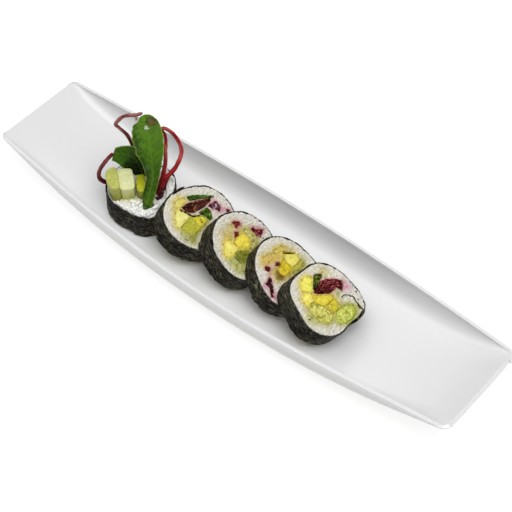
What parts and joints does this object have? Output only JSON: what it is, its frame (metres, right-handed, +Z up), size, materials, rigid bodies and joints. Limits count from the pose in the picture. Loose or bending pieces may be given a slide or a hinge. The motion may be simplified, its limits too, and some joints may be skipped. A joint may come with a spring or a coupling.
{
  "type": "maki sushi roll slices on a plate",
  "caption": "Thick nori-wrapped maki slices with mango, avocado and red leaf, leaning in a row along a white boat-shaped porcelain plate with a leaf garnish.",
  "frame": {"origin": "middle of the plate's foot, on the surface that it stands on", "axes": "+X along the plate, from the garnished slice towards the last one; +Y across the plate; +Z up"},
  "size_m": [0.3508, 0.0886, 0.0742],
  "materials": {
    "porcelain": "smooth white gloss glaze",
    "nori": "moist roasted seaweed sheet, near black with olive and brown tints, wrinkled, semi-matte",
    "rice": "cooked short-grain rice, moist and slightly translucent",
    "mango": "ripe mango flesh, moist, faint fibres",
    "avocado": "avocado flesh, buttery, greener at its edge",
    "cucumber": "pale cut cucumber, moist, fine lengthwise ridges",
    "red_leaf": "dark red salad leaf, moist",
    "green_leaf": "fresh green leaf, waxy, paler veins",
    "red_stem": "red beet stem, waxy"
  },
  "bodies": {
    "root": {"garnish_large_leaf": "green_leaf", "garnish_small_leaf": "green_leaf", "garnish_stem_hook": "red_stem", "garnish_stem_loop": "red_stem", "garnish_stem_side": "red_stem", "plate": "porcelain", "roll_1_avocado": "avocado", "roll_1_cucumber": "cucumber", "roll_1_leaf_stalk": "green_leaf", "roll_1_mango": "mango", "roll_1_nori": "nori", "roll_1_red_leaf": "red_leaf", "roll_1_rice": "rice", "roll_2_avocado": "avocado", "roll_2_avocado_end": "avocado", "roll_2_green_leaf": "green_leaf", "roll_2_leaf_strip": "green_leaf", "roll_2_mango_1": "mango", "roll_2_mango_2": "mango", "roll_2_nori": "nori", "roll_2_nori_fold": "nori", "roll_2_red_leaf": "red_leaf", "roll_2_red_leaf_end": "red_leaf", "roll_2_red_leaf_rib": "red_leaf", "roll_2_rice": "rice", "roll_3_avocado_1": "avocado", "roll_3_avocado_2": "avocado", "roll_3_avocado_3": "avocado", "roll_3_mango_1": "mango", "roll_3_mango_2": "mango", "roll_3_nori": "nori", "roll_3_red_leaf_1": "red_leaf", "roll_3_red_leaf_2": "red_leaf", "roll_3_red_leaf_3": "red_leaf", "roll_3_rice": "rice", "roll_4_avocado": "avocado", "roll_4_green_leaf": "green_leaf", "roll_4_mango_1": "mango", "roll_4_mango_2": "mango", "roll_4_mango_3": "mango", "roll_4_mango_4": "mango", "roll_4_mango_5": "mango", "roll_4_nori": "nori", "roll_4_red_leaf_1": "red_leaf", "roll_4_red_leaf_2": "red_leaf", "roll_4_red_leaf_3": "red_leaf", "roll_4_rice": "rice", "roll_5_avocado_1": "avocado", "roll_5_avocado_2": "avocado", "roll_5_green_leaf": "green_leaf", "roll_5_mango_1": "mango", "roll_5_mango_2": "mango", "roll_5_mango_3": "mango", "roll_5_mango_4": "mango", "roll_5_nori": "nori", "roll_5_red_leaf": "red_leaf", "roll_5_rice": "rice"}
  },
  "joints": []
}
